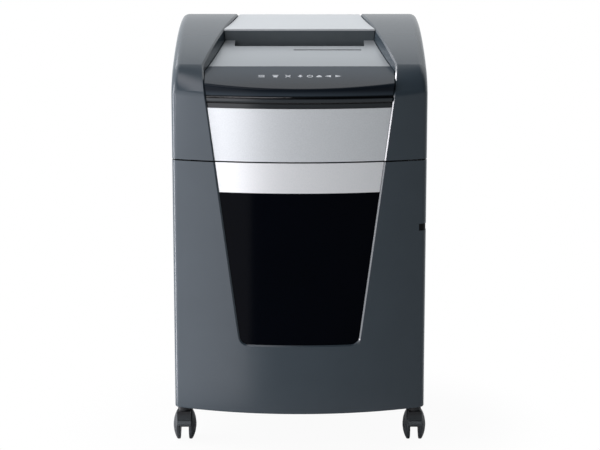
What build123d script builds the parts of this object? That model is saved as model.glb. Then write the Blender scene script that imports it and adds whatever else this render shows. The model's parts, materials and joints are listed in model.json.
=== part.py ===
from build123d import *

import os
from math import acos, asin, cos, degrees, hypot, pi, radians, sin, sqrt, tan

# Whole body in millimetres: X to the right, Y to the rear, Z up, floor at zero
body_half_width = 220
bow_radius = 540
front_y = -186
rear_y = 186
skirt_z = 68
seam_z = 509.9
seam_gap = 2.5
head_top_z = 742.5
wall = 3
corner_round = 14
skirt_round = 2.5
cut_over = 1
front_margin = 40

# Tower tops: one long arc in side view, and a fold that follows the bowed front
top_radius = 700
top_center_y = 208.5
fold_y = -102
fold_round = 18
top_start = 86
fold_kick = 3
fold_low_z = 624
fold_fall = 0.04
fold_over = 2
tower_inner_x = 113

# Central shield on the front, wider at the top
shield_low_z = 191
shield_low_half = 102
shield_lean = 0.1345
shield_corner = 15
shield_recess = 3
panel_gap = 0.6
panel_thickness = 2.5
rim_chamfer = 2.4

# Channel between the towers that holds the console: half widths at the rear and the middle
channel_low_z = 640
channel_high_z = 760
channel_rear_half = 112.5
channel_low_half = 131
channel_high_half = 142.5
channel_rear_y = 196
channel_middle_y = 26
channel_front_y = fold_y
console_gap = 1.2

# Console: rear panel, throat, feed panel, control panel and lip
rear_panel_z = 740
throat_wall_y = 36
throat_top_z = 722.1
throat_front_y = 10
throat_half_length = 116
feed_rear_z = 693.3
feed_front_y = -80
feed_front_z = 664.9
control_front_z = 633
control_round = 8
control_margin = 20
throat_low_z = 670
feed_lip = 14
disc_slot_x = 50
disc_slot_y = -7
disc_slot_length = 122
disc_slot_width = 5
lip_low_z = 601.8
lip_high_z = 621.6
lip_bead_low_z = 609.7
lip_strip_depth = 1.5
lip_sweep = radians(20)
fascia_high_z = 601.4
band_low_z = 457.1

# Bin
bin_split_y = -98
split_gap = 2
tub_half_width = 186
tub_rear_y = 165
tub_low_z = 92
tub_high_z = 490
tub_wall = 2.5
tub_inset = 12
tub_flange = 10
rail_gap = 0.3
grip_low_z = 386
grip_high_z = 497
grip_notch = 12
seat_low_z = 130
seat_high_z = 470
seat_half = 165
seat_width = 16
grip_y = -116
grip_width = 20
grip_reach = 47
grip_round = 4
grip_cut = 14
grip_inset = 1
cup_wall = 2
cup_depth = 14
tub_corner = 24
rail_half = 190
rail_wall = 4
rail_front_y = -90
rail_rear_y = 168
side_return_x = 189
relief_margin = 30
relief_depth = 1

# Upper rear panel: cooling slots, mains inlet and switch
rear_upper_top_z = 736.5
vent_z = 655
vent_length = 52
vent_width = 4
vent_columns = 3
vent_rows = 8
pocket_z = 556
pocket_width = 96
pocket_height = 40
pocket_depth = 9
inlet_x = -24
inlet_width = 27
inlet_height = 20
inlet_depth = 20
bezel = 2
pin_width = 2
pin_height = 4
pin_length = 13
pin_spacing = 6
pin_rise = 3
switch_x = 26
switch_width = 22
switch_height = 28
rocker_well = 11
rocker_width = 16
rocker_half = 10.8
rocker_pin = 1.5
rocker_web = 1.5
rocker_tilt = radians(9)
rocker_pivot_y = 173
rocker_rise = 3.2
rocker_sink = 0.6
rocker_crown = 3.2

# Base
base_inset = 5
base_rim = 10
socket_radius = 10.5
socket_height = 17

# Cutting unit
cutter_y = 24
cutter_z = 590
cutter_distance = 54
disc_radius = 30
disc_hook_radius = 26.5
disc_teeth = 8
disc_thickness = 5.4
disc_pitch = 12
disc_rows = 19
disc_twist = 14
core_radius = 22
core_half_length = 119
shaft_radius = 10
run_clearance = 0.05
plate_x = 124
plate_thickness = 4
plate_low_z = 520
plate_high_z = 638
bush_radius = 14
shelf_low_z = 516
shelf_inset = 6
board_gap = 0.3
discharge_half_length = 118
discharge_width = 116
plate_front_y = -48
left_plate_rear_y = 96
right_plate_rear_y = 168
foot_width = 22
pinion_hole = 12
tie_rod_radius = 5
tie_rod_ys = (-40, 84)
tie_rod_zs = (535, 630)
bush_flange = 2
disc_land = 0.18
disc_land_drop = 0.6
disc_gullet = 0.32
front_shaft_end = 131
rear_shaft_end = 158
comb_bar_reach = 35
comb_bar_width = 7
comb_finger_length = 11
comb_finger_width = 5
comb_drop = 18
comb_height = 9

# Feed chutes: top and bottom of each guide face
chute_half_length = 119
chute_wall = 1.8
paper_guide = ((9.8, 678.6), (22.5, 646))
disc_guide = ((-12, 682.6), (15, 627))
rear_guide = ((36, 669.8), (27, 626))

# Control board
board_y = -130
board_drop = 14
board_length = 150
board_width = 52
board_thickness = 1.6
key_pitch = 17
key_count = 8
key_size = 6

# Bin position switch
bin_switch_x = 150
bin_switch_y = 158
bin_switch_length = 24
bin_switch_width = 12
bin_switch_height = 16
switch_chamfer = 1

# Gear train: module and tooth counts, stub teeth
pressure_angle = radians(25)
addendum = 0.8
dedendum = 1.0
backlash = 0.3
sync_module = 2.7
sync_teeth = 20
drive_module = 2.0
drive_teeth = 30
idler_small_teeth = 14
motor_module = 1.5
idler_large_teeth = 36
pinion_teeth = 12
idler_direction = radians(14)
motor_direction = radians(-10)
motor_radius = 34
motor_length = 118
sync_outer_x = 145
sync_width = 11
drive_x = 146
drive_width = 10
idler_x = 131
idler_pin = 5
idler_hub = 9
motor_shaft = 4
pinion_reach = 20
rotor_margin = 22
rotor_radius = 24
cover_depth = 36
cover_front_y = 13
cover_rear_y = 146
cover_low_z = 549
cover_high_z = 637

# Casters
caster_x = 205
caster_front_y = -122
caster_rear_y = 112
caster_trail = 18
wheel_radius = 27
wheel_inner_x = 8
wheel_outer_x = 20
axle_radius = 4
stem_radius = 5
stem_top_z = 82
hood_half_width = 12
hood_inner = 28.2
hood_outer = 30.8
hood_start = 62
hood_span = 108
boss_low_z = 45
boss_high_z = 67.5
boss_radius = 10.5
cheek_reach = 13
cheek_low_z = 41
cheek_high_z = 58
lever_reach = 15
lever_low_z = 36
web_half = 7
web_start = 70
web_span = 96
web_boss = 6
axle_half = 17
tread_width = 5
tread_chamfer = 1
shoulder_x = 16
shoulder_radius = 22
dome_mid_x = 18.7
dome_mid_radius = 14
dome_wall = 2.7
cap_radius = 5

bow_center_y = front_y + bow_radius
bin_top_z = seam_z - seam_gap / 2
head_low_z = seam_z + seam_gap / 2
rail_z = tub_high_z - wall - rail_gap
feed_slope = (feed_rear_z - feed_front_z) / (throat_front_y - feed_front_y)
control_slope = (feed_front_z - control_front_z) / (feed_front_y - front_y)
bow_axis = Axis((0, bow_center_y, 0), (0, 0, 1))


def finish(piece, name):
    piece.label = name
    export_step(piece, f"parts/{name}.step")


def bow_point(x, inset):
    return (x, bow_center_y - sqrt((bow_radius - inset) ** 2 - x**2))


def shield_half(z):
    return shield_low_half + shield_lean * (z - shield_low_z)


# Tower top line: centre of the long arc, where the fold leaves it, and the height over any Y
top_center_z = head_top_z - sqrt(top_radius**2 - (rear_y - top_center_y) ** 2)
fold_angle = 90 + degrees(asin((top_center_y - fold_y) / top_radius))
fold_start = fold_angle - 90 + fold_kick


def tower_top(y, inset=0):
    return top_center_z + sqrt((top_radius - inset) ** 2 - (y - top_center_y) ** 2)


# Full-width body block with the bowed front
def body_block(inset, low_z, high_z):
    x = body_half_width - inset
    with BuildPart() as block:
        with BuildSketch(Plane.XY.offset(low_z)):
            with BuildLine():
                front = ThreePointArc(bow_point(-x, inset), bow_point(0, inset), bow_point(x, inset))
                Polyline(front @ 1, (x, rear_y - inset), (-x, rear_y - inset), front @ 0)
            make_face()
        extrude(amount=high_z - low_z)
        fillet(block.edges().filter_by(Axis.Z), corner_round - inset)
    return block.part


# Wedge-shaped prism over the central shield
def shield_wedge(gap):
    low = shield_low_half - gap
    high = shield_half(channel_high_z) - gap
    with BuildPart() as wedge:
        with BuildSketch(Plane.XZ.offset(-channel_front_y)) as outline:
            with BuildLine():
                bottom = shield_low_z + gap
                corners = ((-low, bottom), (low, bottom), (high, channel_high_z), (-high, channel_high_z))
                Polyline(*corners, close=True)
            make_face()
            fillet(outline.vertices().group_by(Axis.Y)[0], shield_corner - gap)
        extrude(amount=channel_front_y - front_y + front_margin)
    return wedge.part


# Space between the towers, drafted along the top and joined to the shield wedge in front
def console_channel(gap):
    with BuildPart() as channel:
        for level, middle_half in ((channel_low_z, channel_low_half), (channel_high_z, channel_high_half)):
            rear = channel_rear_half - gap
            middle = middle_half - gap
            front = shield_half(level) - gap
            with BuildSketch(Plane.XY.offset(level)):
                with BuildLine():
                    right = ThreePointArc(
                        (front, channel_front_y), (middle, channel_middle_y), (rear, channel_rear_y)
                    )
                    left = ThreePointArc(
                        (-rear, channel_rear_y), (-middle, channel_middle_y), (-front, channel_front_y)
                    )
                    Line(right @ 1, left @ 0)
                    Line(left @ 1, right @ 0)
                make_face()
        loft(ruled=True)
        add(shield_wedge(gap))
    return channel.part


# Foot of the fold, which falls a little towards the outside
def fold_foot(x):
    return fold_low_z - fold_fall * (x - tower_inner_x)


# Section of the waste over a tower's fold: it leaves the top line with a slight kick and meets the bow
def fold_section(x, inset):
    with BuildSketch(Plane.YZ.offset(x)) as section:
        with BuildLine():
            crest = Vector(top_radius - inset, 0).rotate(Axis.Z, fold_angle) + (top_center_y, top_center_z)
            run_in = PolarLine(crest, front_margin, fold_start)
            end = (bow_point(x, inset)[1] - fold_over, fold_foot(x) - inset)
            fold = TangentArc(crest, end, tangent=-(run_in % 0))
            run_out = Line(fold @ 1, fold @ 1 + (fold % 1) * front_margin)
            Polyline(
                run_out @ 1,
                ((run_out @ 1).X, 2 * head_top_z),
                ((run_in @ 1).X, 2 * head_top_z),
                run_in @ 1,
            )
        make_face()
    return section.sketch


# Right tower envelope: bowed front, arched top, fold that follows the bow, rounded outer corner
def tower_block(inset):
    outer = body_half_width - inset
    middle = (tower_inner_x + outer) / 2
    with BuildPart() as block:
        with BuildSketch(Plane.XY.offset(head_low_z)):
            with BuildLine():
                front = ThreePointArc(
                    bow_point(tower_inner_x, inset), bow_point(middle, inset), bow_point(outer, inset)
                )
                Polyline(front @ 1, (outer, rear_y - inset), (tower_inner_x, rear_y - inset), front @ 0)
            make_face()
        extrude(amount=channel_high_z - head_low_z)
        with BuildSketch(Plane.YZ):
            with BuildLine():
                top_center = (top_center_y, top_center_z)
                top = CenterArc(top_center, top_radius - inset, top_start, fold_angle - top_start)
                slope = PolarLine(top @ 1, top_radius, 90 + fold_angle)
                Polyline(slope @ 1, ((slope @ 1).X, 2 * head_top_z), ((top @ 0).X, 2 * head_top_z), top @ 0)
            make_face()
        extrude(amount=2 * body_half_width, mode=Mode.SUBTRACT)
        fold_stations = (tower_inner_x - cut_over, middle, outer + cut_over)
        loft([fold_section(x, inset) for x in fold_stations], mode=Mode.SUBTRACT)
        front_edge = (middle, bow_point(middle, inset)[1], fold_foot(middle) - inset)
        rear_edge = (middle, rear_y - inset, tower_top(rear_y, inset))
        for spot in (front_edge, rear_edge):
            fillet(block.edges().sort_by_distance(spot)[0], fold_round - inset)
        outer_face = block.faces().sort_by(Axis.X)[-1]
        fillet(outer_face.edges().sort_by(Axis.Z)[1:], corner_round - inset)
    return block.part


os.makedirs("parts", exist_ok=True)

channel_open = console_channel(0)
channel_lined = console_channel(console_gap)

# Tower covers
with BuildPart() as tower_keep_out:
    add(console_channel(-wall))
    split(bisect_by=Plane.XY.offset(channel_low_z), keep=Keep.TOP)

with BuildPart() as tower_hollow:
    add(tower_block(wall))
    add(tower_keep_out.part, mode=Mode.SUBTRACT)

with BuildPart() as right_tower:
    add(tower_block(0))
    add(channel_open, mode=Mode.SUBTRACT)
    rim_z = (head_low_z + lip_low_z) / 2
    shield_spot = (shield_half(rim_z), (front_y + channel_front_y) / 2, rim_z)
    shield_wall = right_tower.faces().sort_by_distance(shield_spot)[0]
    rim = shield_wall.edges().filter_by(lambda edge: edge.center().Y < channel_front_y - cut_over)
    rim = rim.filter_by(lambda edge: edge.center().Z > head_low_z + cut_over)
    channel_spot = (channel_low_half, channel_middle_y, channel_low_z)
    channel_wall = right_tower.faces().sort_by_distance(channel_spot)[0]
    crown = channel_wall.edges().filter_by(lambda edge: edge.center().Z > feed_rear_z)
    chamfer(rim + crown.filter_by(lambda edge: edge.center().Y < rear_y - wall), rim_chamfer)
    add(tower_hollow.part, mode=Mode.SUBTRACT)
finish(right_tower.part, "right_tower")

with BuildPart() as left_tower:
    mirror(right_tower.part, about=Plane.YZ)
finish(left_tower.part, "left_tower")

# Rear top panel, sloping forward to the throat
with BuildPart() as rear_top_panel:
    with BuildSketch(Plane.YZ):
        with BuildLine():
            Polyline(
                (rear_y, rear_panel_z),
                (throat_wall_y, throat_top_z),
                (throat_wall_y, throat_top_z - wall),
                (rear_y, rear_panel_z - wall),
                close=True,
            )
        make_face()
    extrude(amount=body_half_width, both=True)
    add(channel_lined, mode=Mode.INTERSECT)
    fillet(rear_top_panel.edges().sort_by_distance((0, throat_wall_y, throat_top_z))[0], wall / 2)
finish(rear_top_panel.part, "rear_top_panel")

# Dark wall behind the paper throat
with BuildPart() as throat_wall:
    with BuildSketch(Plane.YZ):
        with BuildLine():
            Polyline(
                (throat_wall_y, throat_top_z - wall),
                (throat_wall_y, throat_low_z),
                (throat_wall_y + panel_thickness, throat_low_z),
                (throat_wall_y + panel_thickness, throat_top_z - wall),
                close=True,
            )
        make_face()
    extrude(amount=body_half_width, both=True)
    add(channel_lined, mode=Mode.INTERSECT)
finish(throat_wall.part, "throat_wall")


# Height of the feed panel over any Y
def feed_height(y):
    return feed_rear_z + (y - throat_front_y) * feed_slope


# Feed panel with the paper throat notch, its turned-down lip and the disc slot
with BuildPart() as feed_panel:
    with BuildSketch(Plane.YZ):
        with BuildLine():
            front_edge = feed_front_y + panel_gap / 2
            rear_edge = throat_wall_y
            Polyline(
                (front_edge, feed_height(front_edge)),
                (rear_edge, feed_height(rear_edge)),
                (rear_edge, feed_height(rear_edge) - wall),
                (throat_front_y, feed_rear_z - wall),
                (throat_front_y, feed_rear_z - feed_lip),
                (throat_front_y - wall, feed_rear_z - feed_lip),
                (throat_front_y - wall, feed_height(throat_front_y - wall) - wall),
                (front_edge, feed_height(front_edge) - wall),
                close=True,
            )
        make_face()
    extrude(amount=body_half_width, both=True)
    add(channel_lined, mode=Mode.INTERSECT)
    with BuildSketch(Plane.XY.offset(channel_low_z)):
        with Locations((0, throat_front_y)):
            Rectangle(2 * throat_half_length, throat_wall_y, align=(Align.CENTER, Align.MIN))
        with Locations((disc_slot_x, disc_slot_y)):
            SlotOverall(disc_slot_length, disc_slot_width)
    extrude(amount=channel_high_z - channel_low_z, mode=Mode.SUBTRACT)
finish(feed_panel.part, "feed_panel")


# Solid below the control panel's sloping top, inside the bowed front
def control_block(inset, low_z):
    with BuildPart() as block:
        with BuildSketch(Plane.YZ):
            with BuildLine():
                rear_edge = feed_front_y - panel_gap / 2 - inset
                Polyline(
                    (rear_edge, feed_front_z - panel_gap * control_slope - inset * (1 + control_slope)),
                    (front_y - control_margin, control_front_z - control_margin * control_slope - inset),
                    (front_y - control_margin, low_z),
                    (rear_edge, low_z),
                    close=True,
                )
            make_face()
        extrude(amount=body_half_width, both=True)
        add(body_block(shield_recess + inset, low_z, head_top_z), mode=Mode.INTERSECT)
        add(console_channel(console_gap + inset), mode=Mode.INTERSECT)
        if inset == 0:
            edge_z = control_front_z + shield_recess * control_slope
            front_edge = block.edges().sort_by_distance((0, front_y + shield_recess, edge_z))[0]
            fillet(front_edge, control_round)
    return block.part


# Glossy control panel: a cap with a rounded front edge and skirts
with BuildPart() as control_panel:
    add(control_block(0, lip_high_z))
    add(control_block(wall, lip_high_z - wall), mode=Mode.SUBTRACT)
finish(control_panel.part, "control_panel")

# Black lip band: a bead over a recessed strip, turned about the bow's axis
lip_plane = Plane(
    origin=(0, bow_center_y, 0),
    x_dir=(-sin(lip_sweep), -cos(lip_sweep), 0),
    z_dir=(-cos(lip_sweep), sin(lip_sweep), 0),
)
with BuildPart() as fascia_lip:
    with BuildSketch(lip_plane):
        with BuildLine():
            ledge = bow_radius - shield_recess
            strip = ledge - lip_strip_depth
            inner = strip - panel_thickness
            bead_z = (lip_bead_low_z + lip_high_z) / 2
            bead = ThreePointArc((ledge, lip_high_z), (bow_radius, bead_z), (strip, lip_bead_low_z))
            Polyline(bead @ 1, (strip, lip_low_z), (inner, lip_low_z), (inner, lip_high_z), bead @ 0)
        make_face()
    revolve(axis=bow_axis, revolution_arc=2 * degrees(lip_sweep))
    add(channel_lined, mode=Mode.INTERSECT)
finish(fascia_lip.part, "fascia_lip")


# Bowed panel set into the shield between two heights
def shield_panel(low_z, high_z):
    with BuildPart() as panel:
        add(body_block(shield_recess, low_z, high_z))
        back = shield_recess + panel_thickness
        add(body_block(back, low_z - cut_over, high_z + cut_over), mode=Mode.SUBTRACT)
        add(shield_wedge(panel_gap), mode=Mode.INTERSECT)
    return panel.part


finish(shield_panel(head_low_z, fascia_high_z), "upper_fascia")
finish(shield_panel(band_low_z, bin_top_z), "bin_band")
finish(shield_panel(skirt_z, band_low_z - panel_gap), "bin_window")


# Edges of the shield opening that lie on the outer face of the bow
def on_bow(edge):
    in_shield = shield_low_z - cut_over < edge.center().Z < bin_top_z - cut_over
    reach = [hypot(end.X, end.Y - bow_center_y) for end in (edge @ 0, edge @ 1)]
    return in_shield and min(reach) > bow_radius - rim_chamfer / 2


# Bin front: bowed shell that wraps both corners, with the shield opening and seats for the tub
with BuildPart() as bin_front:
    add(body_block(0, skirt_z, bin_top_z))
    fillet(bin_front.faces().sort_by(Axis.Z)[0].edges(), skirt_round)
    split(bisect_by=Plane.XZ.offset(-bin_split_y), keep=Keep.TOP)
    add(shield_wedge(0), mode=Mode.SUBTRACT)
    chamfer(bin_front.edges().filter_by(on_bow), rim_chamfer)
    add(body_block(wall, skirt_z - cut_over, bin_top_z + cut_over), mode=Mode.SUBTRACT)
    with BuildSketch(Plane.XY.offset(seat_low_z)):
        for side in (-1, 1):
            with BuildLine():
                near = seat_half - seat_width / 2
                far = seat_half + seat_width / 2
                outer = ThreePointArc(*(bow_point(side * x, wall) for x in (near, seat_half, far)))
                inner = ThreePointArc(*(bow_point(side * x, tub_inset) for x in (far, seat_half, near)))
                Line(outer @ 1, inner @ 0)
                Line(inner @ 1, outer @ 0)
            make_face()
    extrude(amount=seat_high_z - seat_low_z)
    with BuildSketch(Plane.YZ.offset(body_half_width + cut_over)):
        with Locations((grip_y, (grip_low_z + grip_high_z) / 2)):
            RectangleRounded(grip_width, grip_high_z - grip_low_z, grip_round)
        with Locations((grip_y, grip_low_z + grip_notch / 2)):
            Rectangle(grip_reach, grip_notch, align=(Align.MAX, Align.CENTER))
    extrude(amount=-grip_cut, mode=Mode.SUBTRACT)
finish(bin_front.part, "bin_front")

# Finger cup behind the slot in the right flank, with a pad that fills the notch in the corner
with BuildPart() as corner_pad:
    add(body_block(grip_inset, grip_low_z + split_gap / 4, grip_low_z + grip_notch - split_gap / 4))
    add(body_block(wall + grip_inset, grip_low_z, grip_high_z), mode=Mode.SUBTRACT)
    pad_end_y = grip_y - grip_width / 2 - cup_wall
    pad_length = grip_reach - grip_width / 2 - cup_wall - split_gap / 2
    with BuildSketch(Plane.XY.offset(grip_low_z)):
        with Locations((body_half_width + cut_over, pad_end_y)):
            Rectangle(grip_cut, pad_length, align=(Align.MAX, Align.MAX))
    extrude(amount=grip_notch, mode=Mode.INTERSECT)

with BuildPart() as bin_grip:
    with BuildSketch(Plane.YZ.offset(body_half_width - wall)):
        with Locations((grip_y, (grip_low_z + grip_high_z) / 2)):
            RectangleRounded(grip_width, grip_high_z - grip_low_z, grip_round)
        offset(amount=cup_wall)
    extrude(amount=-cup_depth)
    with BuildSketch(Plane.YZ.offset(body_half_width - wall)):
        with Locations((grip_y, (grip_low_z + grip_high_z) / 2)):
            RectangleRounded(grip_width, grip_high_z - grip_low_z, grip_round)
    extrude(amount=cup_wall - cup_depth, mode=Mode.SUBTRACT)
    add(corner_pad.part)
finish(bin_grip.part, "bin_grip")


# Tub outline: bowed in front, parallel to the bin front
def tub_block(inset, low_z, high_z):
    half = tub_half_width - inset
    with BuildPart() as block:
        with BuildSketch(Plane.XY.offset(low_z)):
            with BuildLine():
                front = ThreePointArc(*(bow_point(x, tub_inset + inset) for x in (-half, 0, half)))
                Polyline(front @ 1, (half, tub_rear_y - inset), (-half, tub_rear_y - inset), front @ 0)
            make_face()
        extrude(amount=high_z - low_z)
        fillet(block.edges().filter_by(Axis.Z), tub_corner - inset)
    return block.part


# Bin tub: open at the top, with a flange along both sides that runs on the rails
with BuildPart() as bin_tub:
    add(tub_block(0, tub_low_z, tub_high_z))
    with BuildSketch(Plane.XY.offset(tub_high_z - wall)):
        with Locations((0, tub_rear_y - tub_corner)):
            Rectangle(
                2 * (tub_half_width + tub_flange),
                tub_rear_y - bin_split_y - 2 * tub_corner,
                align=(Align.CENTER, Align.MAX),
            )
    extrude(amount=wall)
    add(tub_block(tub_wall, tub_low_z + tub_wall, tub_high_z + cut_over), mode=Mode.SUBTRACT)
finish(bin_tub.part, "bin_tub")

# Rails for the tub's flanges, on the side panels
with BuildPart() as bin_rails:
    with BuildSketch(Plane.XZ.offset(-rail_front_y)):
        for side in (-1, 1):
            with BuildLine():
                wall_x = side * (body_half_width - wall)
                ledge_x = side * rail_half
                Polyline(
                    (wall_x, rail_z - wall),
                    (wall_x, shelf_low_z),
                    (wall_x - side * rail_wall, shelf_low_z),
                    (wall_x - side * rail_wall, rail_z),
                    (ledge_x, rail_z),
                    (ledge_x, rail_z - wall),
                    close=True,
                )
            make_face()
    extrude(amount=-(rail_rear_y - rail_front_y))
finish(bin_rails.part, "bin_rails")

# Cabinet side panels, each turning the rear corner
with BuildPart() as right_side_panel:
    add(body_block(0, skirt_z, bin_top_z))
    fillet(right_side_panel.faces().sort_by(Axis.Z)[0].edges(), skirt_round)
    add(body_block(wall, skirt_z - cut_over, bin_top_z + cut_over), mode=Mode.SUBTRACT)
    split(bisect_by=Plane.XZ.offset(-(bin_split_y + split_gap)), keep=Keep.BOTTOM)
    split(bisect_by=Plane.YZ.offset(side_return_x), keep=Keep.TOP)
finish(right_side_panel.part, "right_side_panel")

with BuildPart() as left_side_panel:
    mirror(right_side_panel.part, about=Plane.YZ)
finish(left_side_panel.part, "left_side_panel")

# Lower rear panel with a shallow relief
relief_width = 2 * (side_return_x - relief_margin)
relief_height = bin_top_z - skirt_z - 2 * relief_margin
with BuildPart() as rear_panel:
    with BuildSketch(Plane.XZ.offset(-rear_y)):
        with Locations((0, (skirt_z + bin_top_z) / 2)):
            Rectangle(2 * (side_return_x - panel_gap), bin_top_z - skirt_z)
    extrude(amount=wall)
    with BuildSketch(Plane.XZ.offset(-rear_y)):
        with Locations((0, (skirt_z + bin_top_z) / 2)):
            RectangleRounded(relief_width, relief_height, corner_round)
    extrude(amount=relief_depth, mode=Mode.SUBTRACT)
finish(rear_panel.part, "rear_panel")

# Upper rear panel: cooling slots and a pocket for the mains inlet and the switch
with BuildPart() as rear_upper_panel:
    with BuildSketch(Plane.XZ.offset(-rear_y)):
        with Locations((0, (head_low_z + rear_upper_top_z) / 2)):
            Rectangle(2 * (tower_inner_x - panel_gap), rear_upper_top_z - head_low_z)
    extrude(amount=wall)
    with BuildSketch(Plane.XZ.offset(-rear_y)):
        with Locations((0, vent_z)):
            with GridLocations(vent_length + vent_width, 2 * vent_width, vent_columns, vent_rows):
                SlotOverall(vent_length, vent_width)
    extrude(amount=wall, mode=Mode.SUBTRACT)
    with BuildSketch(Plane.XZ.offset(-rear_y)):
        with Locations((0, pocket_z)):
            RectangleRounded(pocket_width + 2 * wall, pocket_height + 2 * wall, wall)
    extrude(amount=pocket_depth + wall)
    with BuildSketch(Plane.XZ.offset(-rear_y)):
        with Locations((0, pocket_z)):
            RectangleRounded(pocket_width, pocket_height, wall / 2)
    extrude(amount=pocket_depth, mode=Mode.SUBTRACT)
    with BuildSketch(Plane.XZ.offset(-rear_y + pocket_depth)):
        with Locations((inlet_x, pocket_z)):
            Rectangle(inlet_width, inlet_height)
        with Locations((switch_x, pocket_z)):
            Rectangle(switch_width, switch_height)
    extrude(amount=wall, mode=Mode.SUBTRACT)
finish(rear_upper_panel.part, "rear_upper_panel")

# Mains inlet: a socket body with three flat pins
with BuildPart() as power_inlet:
    face_plane = Plane.XZ.offset(-rear_y + pocket_depth)
    with BuildSketch(face_plane):
        with Locations((inlet_x, pocket_z)):
            Rectangle(inlet_width + 2 * bezel, inlet_height + 2 * bezel)
    extrude(amount=-bezel)
    with BuildSketch(face_plane):
        with Locations((inlet_x, pocket_z)):
            Rectangle(inlet_width, inlet_height)
    extrude(amount=inlet_depth)
    with BuildSketch(face_plane.offset(-bezel)):
        with Locations((inlet_x, pocket_z)):
            RectangleRounded(inlet_width - 2 * bezel, inlet_height - 2 * bezel, bezel)
    extrude(amount=inlet_depth - bezel, mode=Mode.SUBTRACT)
    with BuildSketch(face_plane.offset(inlet_depth - 2 * bezel)):
        earth_pin = (inlet_x, pocket_z + pin_rise)
        live_pin = (inlet_x - pin_spacing, pocket_z - pin_rise)
        neutral_pin = (inlet_x + pin_spacing, pocket_z - pin_rise)
        with Locations(earth_pin, live_pin, neutral_pin):
            Rectangle(pin_width, pin_height)
    extrude(amount=-pin_length)
finish(power_inlet.part, "power_inlet")

# Switch housing and its rocker
with BuildPart() as switch_housing:
    with BuildSketch(face_plane):
        with Locations((switch_x, pocket_z)):
            Rectangle(switch_width + 2 * bezel, switch_height + 2 * bezel)
    extrude(amount=-bezel)
    with BuildSketch(face_plane):
        with Locations((switch_x, pocket_z)):
            Rectangle(switch_width, switch_height)
    extrude(amount=inlet_depth)
    with BuildSketch(face_plane.offset(-bezel)):
        with Locations((switch_x, pocket_z)):
            Rectangle(switch_width - 2 * bezel, switch_height - 2 * bezel)
    extrude(amount=rocker_well, mode=Mode.SUBTRACT)
    with BuildSketch(Plane.YZ.offset(switch_x - switch_width / 2 + bezel)):
        with Locations((rocker_pivot_y, pocket_z)):
            Circle(rocker_pin)
    extrude(amount=switch_width - 2 * bezel)
finish(switch_housing.part, "switch_housing")

# Rocker at rest with its lower half pressed
with BuildPart() as rocker:
    with BuildSketch(Plane.YZ.offset(switch_x - rocker_width / 2)):
        with BuildLine():
            reach = rocker_half * cos(rocker_tilt)
            Polyline(
                (rocker_pivot_y - rocker_pin - rocker_web, pocket_z - rocker_web),
                (rocker_pivot_y - rocker_pin - rocker_web, pocket_z + rocker_web),
                (rocker_pivot_y + rocker_rise, pocket_z + reach),
                (rocker_pivot_y + rocker_rise + rocker_web, pocket_z + reach),
                (rocker_pivot_y + rocker_crown, pocket_z),
                (rocker_pivot_y + rocker_sink + rocker_web, pocket_z - reach),
                (rocker_pivot_y + rocker_sink, pocket_z - reach),
                close=True,
            )
        make_face()
        with Locations((rocker_pivot_y, pocket_z)):
            Circle(rocker_pin + run_clearance, mode=Mode.SUBTRACT)
    extrude(amount=rocker_width)
finish(rocker.part, "rocker")

# Base tray with a rim and four caster sockets
caster_spots = [(side * caster_x, y) for y in (caster_front_y, caster_rear_y) for side in (-1, 1)]
with BuildPart() as base_tray:
    add(body_block(base_inset, skirt_z, skirt_z + base_rim))
    add(body_block(base_inset + wall, skirt_z + wall, skirt_z + base_rim + cut_over), mode=Mode.SUBTRACT)
    with BuildSketch(Plane.XY.offset(skirt_z)):
        with Locations(*caster_spots):
            Circle(socket_radius)
    extrude(amount=socket_height)
    with BuildSketch(Plane.XY.offset(skirt_z)):
        with Locations(*caster_spots):
            Circle(stem_radius + run_clearance)
    extrude(amount=stem_top_z - skirt_z + cut_over, mode=Mode.SUBTRACT)
finish(base_tray.part, "base_tray")

# Cutter shelf: floor of the head, four boards around the discharge opening under the rollers
with BuildPart() as cutter_shelf:
    add(body_block(shelf_inset, shelf_low_z, plate_low_z))
    with BuildSketch(Plane.XY.offset(shelf_low_z)):
        with Locations((0, cutter_y)):
            Rectangle(2 * discharge_half_length, discharge_width)
            with GridLocations(0, discharge_width, 1, 2):
                Rectangle(2 * body_half_width, board_gap)
    extrude(amount=plate_low_z - shelf_low_z, mode=Mode.SUBTRACT)
finish(cutter_shelf.part, "cutter_shelf")

# Axes of the cutting unit in the YZ plane
front_axis = (cutter_y - cutter_distance / 2, cutter_z)
rear_axis = (cutter_y + cutter_distance / 2, cutter_z)
idler_distance = drive_module * (drive_teeth + idler_small_teeth) / 2
motor_distance = motor_module * (idler_large_teeth + pinion_teeth) / 2
idler_axis = (
    rear_axis[0] + idler_distance * cos(idler_direction),
    rear_axis[1] + idler_distance * sin(idler_direction),
)
motor_axis = (
    idler_axis[0] + motor_distance * cos(motor_direction),
    idler_axis[1] + motor_distance * sin(motor_direction),
)


# Side plate of the cutting unit with a foot, a bush seat for each shaft
def cutter_plate(side, rear_end):
    inner = side * plate_x
    with BuildPart() as plate:
        with BuildSketch(Plane.YZ.offset(inner)) as outline:
            with Locations((plate_front_y, plate_low_z)):
                Rectangle(rear_end - plate_front_y, plate_high_z - plate_low_z, align=Align.MIN)
            fillet(outline.vertices().group_by(Axis.Y)[-1], corner_round)
            with Locations(front_axis, rear_axis):
                Circle(bush_radius, mode=Mode.SUBTRACT)
        extrude(amount=side * plate_thickness)
        with BuildSketch(Plane.XY.offset(plate_low_z)):
            foot_x = side * (plate_x + plate_thickness + foot_width / 2)
            with Locations((foot_x, (plate_front_y + rear_end) / 2)):
                Rectangle(foot_width, rear_end - plate_front_y)
        extrude(amount=wall)
        if side > 0:
            with BuildSketch(Plane.YZ.offset(inner)):
                with Locations(motor_axis):
                    Circle(pinion_hole)
                with Locations(idler_axis):
                    Circle(idler_pin)
            extrude(amount=plate_thickness, mode=Mode.SUBTRACT)
    return plate.part


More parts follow.
